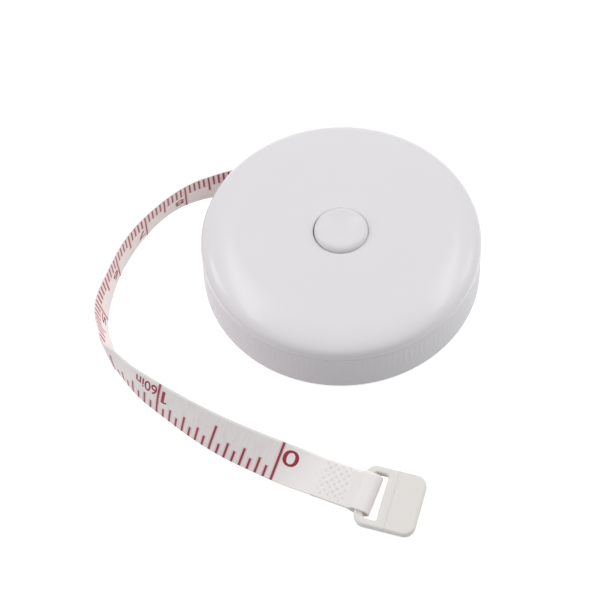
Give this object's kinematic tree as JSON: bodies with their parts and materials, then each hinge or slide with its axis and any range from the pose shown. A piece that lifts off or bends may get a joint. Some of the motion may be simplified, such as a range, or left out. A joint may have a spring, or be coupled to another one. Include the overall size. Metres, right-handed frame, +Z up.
{
  "type": "retractable tape measure",
  "caption": "Round white retractable sewing tape measure with a push button, its tape pulled out to one side and round to the front, ending in a loop tab.",
  "frame": {"origin": "below the middle of the case, on the surface that its four low feet stand on", "axes": "+Z up along the button's and reel's axis; the tape leaves on the -X side and comes round to the front, -Y"},
  "size_m": [0.0729, 0.0842, 0.0152],
  "materials": {
    "case_plastic": "smooth white moulding",
    "tab_plastic": "smooth warm white moulding",
    "reel_plastic": "natural grey moulding",
    "tape_coating": "coated cloth tape",
    "rubber": "black rubber",
    "spring_steel": "plain spring steel"
  },
  "bodies": {
    "case": {"lower_case": "case_plastic", "upper_cover": "case_plastic", "button_spring": "spring_steel"},
    "button": {"release_button": "case_plastic", "brake_disc": "reel_plastic", "brake_pad": "rubber"},
    "reel": {"reel_drum": "reel_plastic", "reel_upper_flange": "reel_plastic", "mainspring": "spring_steel", "mainspring_cover": "reel_plastic", "tape_coil": "tape_coating"},
    "tape": {"tape_free": "tape_coating"},
    "tab": {"end_tab": "tab_plastic"}
  },
  "joints": [
    {"name": "button_press", "type": "slide", "parent": "case", "child": "button", "axis": [0, 0, -1], "range_m": [0, 0.001], "stiffness_N_per_m": 400, "springref_m": -0.003, "deforming": ["button_spring"]},
    {"name": "reel_spin", "type": "hinge", "parent": "case", "child": "reel", "pos_m": [0, 0, 0], "axis": [0, 0, 1], "range_deg": [0, 4930], "deforming": ["mainspring"]},
    {"name": "tape_pull", "type": "slide", "parent": "case", "child": "tape", "axis": [-0.9848, -0.1736, 0], "range_m": [0, 1.395]},
    {"name": "tab_swing", "type": "hinge", "parent": "tape", "child": "tab", "pos_m": [0.00152, -0.04966, 0.00225], "axis": [0.3216, 0.9288, 0.184], "range_deg": [-135, 135]}
  ],
  "couplings": [
    {"joint": "tape_pull", "follows": "reel_spin", "m_per_rad": 0.0162}
  ]
}
